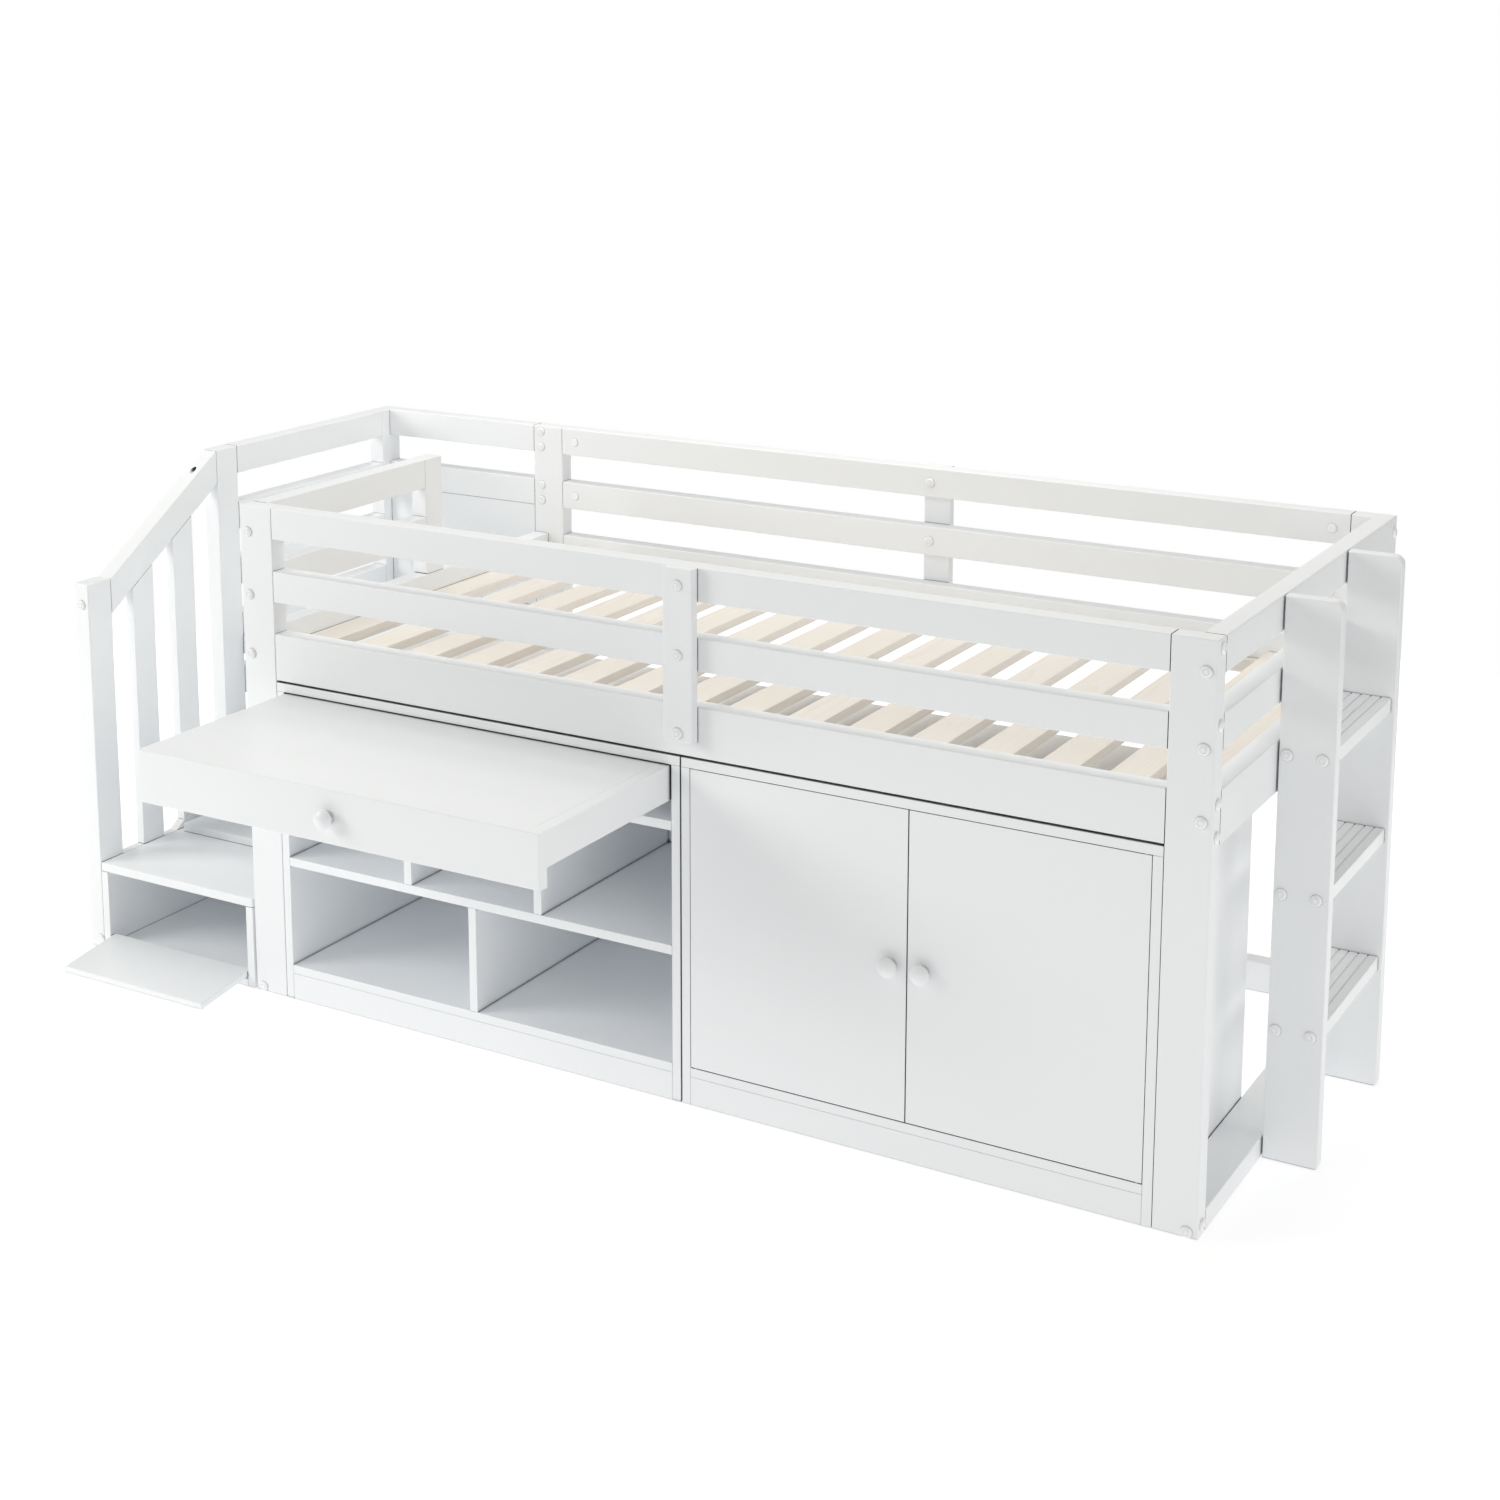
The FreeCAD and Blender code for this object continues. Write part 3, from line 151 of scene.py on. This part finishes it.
AXIS_NUMBER = {"x": 0, "y": 1, "z": 2}


# Node materials

def new_finish(name):
    """An empty node material with its shader: (material, tree, shader)."""
    material = bpy.data.materials.new(name)
    material.use_nodes = True
    tree = material.node_tree
    tree.nodes.clear()
    shader = tree.nodes.new("ShaderNodeBsdfPrincipled")
    output = tree.nodes.new("ShaderNodeOutputMaterial")
    tree.links.new(shader.outputs["BSDF"], output.inputs["Surface"])
    return material, tree, shader


def step(tree, kind, feeds=None, **settings):
    """One node more: settings are its own values, feeds its inputs, as values or as other nodes' outputs."""
    node = tree.nodes.new("ShaderNode" + kind)
    for key, value in settings.items():
        setattr(node, key, value)
    for key, value in (feeds or {}).items():
        if isinstance(value, bpy.types.NodeSocket):
            tree.links.new(value, node.inputs[key])
        else:
            node.inputs[key].default_value = value
    return node


def place(tree):
    """Position on the piece, in metres."""
    return step(tree, "TexCoord").outputs["Object"]


def noise(tree, vector, per_metre, detail, roughness=0.5):
    """Cloudy value from 0 to 1, with so many waves to the metre."""
    feeds = {"Vector": vector, "Scale": per_metre, "Detail": detail, "Roughness": roughness}
    return step(tree, "TexNoise", feeds).outputs["Fac"]


def maths(tree, operation, a, b=0.0):
    """One calculation with one or two values."""
    return step(tree, "Math", {0: a, 1: b}, operation=operation).outputs[0]


def between(tree, value, low, high):
    """A 0 to 1 value brought into another range."""
    return step(tree, "MapRange", {"Value": value, "To Min": low, "To Max": high}).outputs[0]


def shared(tree, share, first, second):
    """Two values added up, the first by its share and the second by the rest."""
    part = maths(tree, "MULTIPLY", first, share)
    rest = maths(tree, "MULTIPLY", second, 1.0 - share)
    return maths(tree, "ADD", part, rest)


def blend_colours(tree, share, first, second):
    """Colour between two others."""
    node = step(tree, "Mix", {0: share, 6: first, 7: second}, data_type="RGBA")
    return node.outputs[2]


def drawn_out(tree, vector, grain, ratio):
    """Coordinates in which a pattern is drawn out along the grain axis."""
    scale = [1.0, 1.0, 1.0]
    scale[AXIS_NUMBER[grain]] = 1.0 / ratio
    return step(tree, "Mapping", {"Vector": vector, "Scale": scale}).outputs["Vector"]


def relief(tree, shader, height, depth, strength):
    """Fine relief of the surface, depth in metres."""
    feeds = {"Height": height, "Distance": depth, "Strength": strength}
    tree.links.new(step(tree, "Bump", feeds).outputs["Normal"], shader.inputs["Normal"])


def feed(tree, shader, **inputs):
    """Link values to the shader's inputs, with _ for a space in their names."""
    for key, value in inputs.items():
        tree.links.new(value, shader.inputs[key.replace("_", " ")])


def with_painted_joint_shade(tree, colour, reach):
    """The colour with painted shade: it goes dark where a neighbour stands within reach, in gaps and in inner
    corners.
    """
    room = step(tree, "AmbientOcclusion", {"Distance": reach}, samples=JOINT_SHADE_RAYS).outputs["AO"]
    clear = step(tree, "MapRange", {"Value": room, "From Min": JOINT_SHADE_CLOSED, "From Max": JOINT_SHADE_OPEN},
                 interpolation_type="SMOOTHSTEP").outputs[0]
    return blend_colours(tree, clear, PAINTED_SHADE_TONE, colour)


def painted_timber(name, grain, reach=TIMBER_SHADE_REACH):
    """Satin white paint over planed timber: the grain shows faintly through it, with a fine spray texture."""
    material, tree, shader = new_finish(name)
    here = place(tree)
    fibres = noise(tree, drawn_out(tree, here, grain, TIMBER_FIBRE_RATIO), *TIMBER_FIBRES)
    spray = noise(tree, here, *TIMBER_SPRAY)
    clouds = noise(tree, here, *TIMBER_CLOUDS)
    tone = shared(tree, TIMBER_TONE_SHARE, fibres, clouds)
    paint = blend_colours(tree, tone, PAINT_SHADE, PAINT_LIGHT)
    # Painted shade: the paint darkens in gaps, joints and inner corners, where shade falls
    colour = with_painted_joint_shade(tree, paint, reach)
    feed(tree, shader, Base_Color=colour, Roughness=between(tree, tone, *TIMBER_ROUGHNESS))
    relief(tree, shader, shared(tree, TIMBER_HEIGHT_SHARE, fibres, spray), *TIMBER_RELIEF)
    return material


def painted_board(name, reach=TIMBER_SHADE_REACH):
    """Sprayed white board: smooth, with a fine orange peel and a slow change of tone."""
    material, tree, shader = new_finish(name)
    here = place(tree)
    peel = noise(tree, here, *BOARD_PEEL)
    clouds = noise(tree, here, *BOARD_CLOUDS)
    paint = blend_colours(tree, clouds, PAINT_SHADE, PAINT_LIGHT)
    # Painted shade: the paint darkens in gaps, joints and inner corners, where shade falls
    colour = with_painted_joint_shade(tree, paint, reach)
    feed(tree, shader, Base_Color=colour, Roughness=between(tree, peel, *BOARD_ROUGHNESS))
    relief(tree, shader, peel, *BOARD_RELIEF)
    return material


def pine(name, grain, width, first, pitch, across, thick_axis, level):
    """Planed pine: growth rings round a pith below each board, fine fibres, and each board's own tone."""
    material, tree, shader = new_finish(name)
    here = place(tree)
    axes = step(tree, "SeparateXYZ", {"Vector": here}).outputs
    sideways = axes[AXIS_NUMBER[across]]
    upwards = axes[AXIS_NUMBER[thick_axis]]

    # Each board's number, and three chance values that go with it
    number = maths(tree, "FLOOR", maths(tree, "DIVIDE", maths(tree, "SUBTRACT", sideways, first), pitch))
    chance = step(tree, "TexWhiteNoise", {"W": number}, noise_dimensions="1D").outputs["Color"]
    draws = step(tree, "SeparateColor", {"Color": chance}).outputs
    apart = step(tree, "VectorMath", {0: here, 1: chance}, operation="ADD").outputs["Vector"]

    # Rings: distance from the board's pith, with a slow wander, counted in ring widths
    middle = maths(tree, "ADD", maths(tree, "MULTIPLY", number, pitch), first + width / 2)
    beside = maths(tree, "SUBTRACT", sideways, middle)
    beside = maths(tree, "ADD", beside, between(tree, draws[0], *PINE_PITH_BESIDE))
    below = maths(tree, "SUBTRACT", upwards, level)
    below = maths(tree, "ADD", below, between(tree, draws[1], *PINE_PITH_BELOW))
    wander = noise(tree, drawn_out(tree, apart, grain, PINE_WANDER_RATIO), *PINE_WANDER)
    flat = maths(tree, "ADD", maths(tree, "MULTIPLY", beside, beside), maths(tree, "MULTIPLY", below, below))
    radius = maths(tree, "ADD", maths(tree, "SQRT", flat), between(tree, wander, *PINE_WANDER_WIDTH))
    ring = maths(tree, "FRACT", maths(tree, "DIVIDE", radius, PINE_RING_WIDTH))
    late = maths(tree, "POWER", ring, PINE_RING_SHARPNESS)

    # Share of late wood in the colour: from the rings, the fibres and the board's own tone
    fibres = noise(tree, drawn_out(tree, apart, grain, PINE_FIBRE_RATIO), *PINE_FIBRES)
    share = maths(tree, "MULTIPLY", late, PINE_RING_TONE)
    share = maths(tree, "ADD", share, between(tree, fibres, *PINE_FIBRE_TONE))
    share = maths(tree, "ADD", share, between(tree, draws[2], *PINE_BOARD_TONE))
    colour = blend_colours(tree, share, PINE_EARLY, PINE_LATE)
    feed(tree, shader, Base_Color=colour, Roughness=between(tree, fibres, *PINE_ROUGHNESS))
    relief(tree, shader, shared(tree, PINE_HEIGHT_SHARE, fibres, late), *PINE_RELIEF)
    return material


def beech_dowel(name):
    """Turned beech: short dark flecks on a warm ground."""
    material, tree, shader = new_finish(name)
    flecks = noise(tree, drawn_out(tree, place(tree), "y", BEECH_FLECK_RATIO), *BEECH_FLECKS)
    colour = blend_colours(tree, flecks, BEECH_EARLY, BEECH_LATE)
    feed(tree, shader, Base_Color=colour, Roughness=between(tree, flecks, *BEECH_ROUGHNESS))
    relief(tree, shader, flecks, *BEECH_RELIEF)
    return material


def coated_steel(name):
    """White coated bolt heads and nuts: a fine powder texture with a soft gloss."""
    material, tree, shader = new_finish(name)
    here = place(tree)
    powder = noise(tree, here, *COATING_POWDER)
    coating = blend_colours(tree, noise(tree, here, *COATING_CLOUDS), COATING_SHADE, COATING_LIGHT)
    # Painted shade: the coating darkens where the bolt head meets the wood
    colour = with_painted_joint_shade(tree, coating, BOLT_SHADE_REACH)
    feed(tree, shader, Base_Color=colour, Roughness=between(tree, powder, *COATING_ROUGHNESS))
    relief(tree, shader, powder, *COATING_RELIEF)
    return material


def zinc_steel(name):
    """Zinc plated sheet: grey metal with a fine rolled texture and pale bloom."""
    material, tree, shader = new_finish(name)
    here = place(tree)
    rolled = noise(tree, drawn_out(tree, here, "y", ZINC_ROLLING_RATIO), *ZINC_ROLLING)
    colour = blend_colours(tree, noise(tree, here, *ZINC_BLOOM), ZINC_SHADE, ZINC_LIGHT)
    feed(tree, shader, Base_Color=colour, Roughness=between(tree, rolled, *ZINC_ROUGHNESS))
    shader.inputs["Metallic"].default_value = 1.0
    relief(tree, shader, rolled, *ZINC_RELIEF)
    return material


def floor_finish(name):
    """Plain pale floor, lit from within, dimmer round the bed than farther out."""
    material, tree, shader = new_finish(name)
    here = place(tree)
    clouds = noise(tree, here, *FLOOR_CLOUDS)
    away = step(tree, "VectorMath", {0: here}, operation="LENGTH").outputs["Value"]
    feeds = {"Value": away, "From Min": FLOOR_NEAR_RADIUS, "From Max": FLOOR_FAR_RADIUS,
             "To Min": FLOOR_GLOW_NEAR, "To Max": FLOOR_GLOW_FAR}
    glow = step(tree, "MapRange", feeds, interpolation_type="SMOOTHSTEP").outputs[0]
    feed(tree, shader, Roughness=between(tree, clouds, *FLOOR_ROUGHNESS), Emission_Strength=glow)
    shader.inputs["Base Color"].default_value = FLOOR_TONE
    shader.inputs["Specular IOR Level"].default_value = FLOOR_SHEEN
    shader.inputs["Emission Color"].default_value = WHITE
    return material


# Which finish each node of the bed takes: a cabinet board's, unless a list here names it
UPRIGHT_TIMBER = ["bed_post_front_left", "bed_post_front_right", "bed_post_rear_left", "bed_post_rear_right",
                  "entrance_post", "mid_posts", "stair_front_post", "stair_tall_post", "stair_rear_post",
                  "stair_balusters"]
LONG_TIMBER = ["front_guard_rails", "front_side_rail", "rear_guard_rails", "rear_side_rail",
               "stair_rear_rails", "cabinet_plinths", "step_1_tread", "step_2_tread", "landing_board"]
CROSS_TIMBER = ["right_end_rails", "left_end_rails", "stair_guard_rails", "bottom_stretchers",
                "ladder_treads"]
# Boards whose painted joint shade reaches only a little way
FAINT_JOINT_SHADE_BOARDS = ["step_box_boards", "step_2_boards", "landing_supports", "stair_side_panel",
                      "stair_rear_panel", "step_flap", "door_cabinet_sides"]
BOLTS = ["frame_bolts", "barrel_nuts", "stair_bolts", "ladder_bolts"]
CHANNELS_AND_PINS = ["runner_fixed_channels", "runner_middle_channels", "desk_channels", "pivot_pins"]


def slat_rows():
    """First edge, pitch and top of the slats, from the box round them all."""
    low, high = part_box("slats")
    pitch = (high.x - low.x - SLAT_WIDTH) / (SLAT_COUNT - 1)
    return low.x - (pitch - SLAT_WIDTH) / 2, pitch, high.z


def dress_nodes():
    """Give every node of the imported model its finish."""
    first, pitch, level = slat_rows()
    ledger_low, ledger_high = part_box("slat_ledgers")
    # Cabinet boards take painted joint shade with a wider reach than the timber's
    cabinet_board = painted_board("sprayed_cabinet_board", CABINET_SHADE_REACH)
    listed = [
        (FAINT_JOINT_SHADE_BOARDS, painted_board("sprayed_stair_board")),
        (UPRIGHT_TIMBER, painted_timber("painted_timber_upright", "z")),
        (LONG_TIMBER, painted_timber("painted_timber_long", "x")),
        (CROSS_TIMBER, painted_timber("painted_timber_cross", "y")),
        (["ladder_boards"], painted_timber("painted_ladder_board", "z", LADDER_SHADE_REACH)),
        (["stair_handrail"], painted_timber("painted_handrail", "y", HANDRAIL_SHADE_REACH)),
        (["slats"], pine("planed_pine_slats", "y", SLAT_WIDTH, first, pitch, "x", "z", level)),
        (["slat_ledgers"], pine("planed_pine_ledgers", "x", LEDGER_DEPTH, ledger_low.y, LEDGER_PITCH,
                                "y", "z", ledger_high.z)),
        (BOLTS, coated_steel("white_coated_steel")),
        (CHANNELS_AND_PINS, zinc_steel("zinc_plated_steel")),
        (["stair_dowels"], beech_dowel("turned_beech")),
    ]
    finishes = {name: finish for names, finish in listed for name in names}
    for name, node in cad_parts.items():
        for slot in node.material_slots:
            slot.material = finishes.get(name, cabinet_board)


# Stage

def make_floor():
    """Round flat floor: one fan of triangles from a middle point to a ring at equal angles."""
    turn = np.linspace(0.0, 2.0 * math.pi, FLOOR_SIDES, endpoint=False)
    height = np.full_like(turn, -FLOOR_DROP)
    ring = np.stack([FLOOR_RADIUS * np.cos(turn), FLOOR_RADIUS * np.sin(turn), height], 1)
    points = np.vstack([[[0.0, 0.0, -FLOOR_DROP]], ring])
    here = np.arange(FLOOR_SIDES)
    faces = np.stack([np.zeros_like(here), here + 1, (here + 1) % FLOOR_SIDES + 1], 1)
    mesh = bpy.data.meshes.new("floor")
    mesh.from_pydata(points.tolist(), [], faces.tolist())
    floor = bpy.data.objects.new("floor", mesh)
    bpy.context.scene.collection.objects.link(floor)
    mesh.materials.append(floor_finish("pale_floor"))


def make_sky():
    """Even white sky; the camera itself sees it as plain white behind the floor's edge."""
    world = bpy.data.worlds.new("studio")
    world.use_nodes = True
    tree = world.node_tree
    tree.nodes.clear()
    light = step(tree, "Background", {"Color": (*LAMP_TINT, 1.0), "Strength": SKY_STRENGTH})
    plain = step(tree, "Background", {"Color": WHITE, "Strength": 1.0})
    seen = step(tree, "LightPath").outputs["Is Camera Ray"]
    choice = step(tree, "MixShader", {0: seen, 1: light.outputs[0], 2: plain.outputs[0]})
    output = tree.nodes.new("ShaderNodeOutputWorld")
    tree.links.new(choice.outputs[0], output.inputs["Surface"])
    bpy.context.scene.world = world


def let_light_bounce():
    """Let light go on from white board to white board, so that the open cubbies stay pale inside."""
    light = bpy.context.scene.cycles
    light.max_bounces = LIGHT_BOUNCES
    light.diffuse_bounces = LIGHT_BOUNCES


def make_soft_boxes():
    """Rectangular soft lights round and above the bed."""
    for name, (spot, aim, size, power) in SOFT_BOXES.items():
        lamp = bpy.data.lights.new(name, "AREA")
        lamp.shape = "RECTANGLE"
        lamp.size, lamp.size_y = size
        lamp.energy = power
        lamp.color = LAMP_TINT
        box = bpy.data.objects.new(name, lamp)
        box.location = spot
        box.rotation_euler = (Vector(aim) - Vector(spot)).to_track_quat("-Z", "Y").to_euler()
        bpy.context.scene.collection.objects.link(box)


def make_camera():
    """Camera at the fitted place, with its optical axis above the middle of the picture."""
    yaw, pitch, roll = CAMERA_YAW, CAMERA_PITCH, CAMERA_ROLL
    level = Vector((-math.sin(yaw), math.cos(yaw), 0.0))
    right = Vector((math.cos(yaw), math.sin(yaw), 0.0))
    up = Vector((0.0, 0.0, 1.0))
    ahead = level * math.cos(pitch) - up * math.sin(pitch)
    top = up * math.cos(pitch) + level * math.sin(pitch)
    side = right * math.cos(roll) + top * math.sin(roll)
    top = top * math.cos(roll) - right * math.sin(roll)
    data = bpy.data.cameras.new("camera")
    data.sensor_width = SENSOR_WIDTH
    data.lens = SENSOR_WIDTH * FOCAL_PIXELS / PICTURE_WIDTH
    data.shift_y = CAMERA_SHIFT_Y
    data.clip_end = CAMERA_REACH
    camera = bpy.data.objects.new("camera", data)
    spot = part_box("bed_post_front_left")[0] + Vector(CAMERA_FROM_POST)
    camera.matrix_world = Matrix.Translation(spot) @ Matrix((side, top, -ahead)).transposed().to_4x4()
    bpy.context.scene.collection.objects.link(camera)
    bpy.context.scene.camera = camera


dress_nodes()
make_floor()
make_sky()
make_soft_boxes()
let_light_bounce()
make_camera()
bpy.context.scene.view_settings.view_transform = "Standard"
bpy.context.scene.view_settings.look = "None"
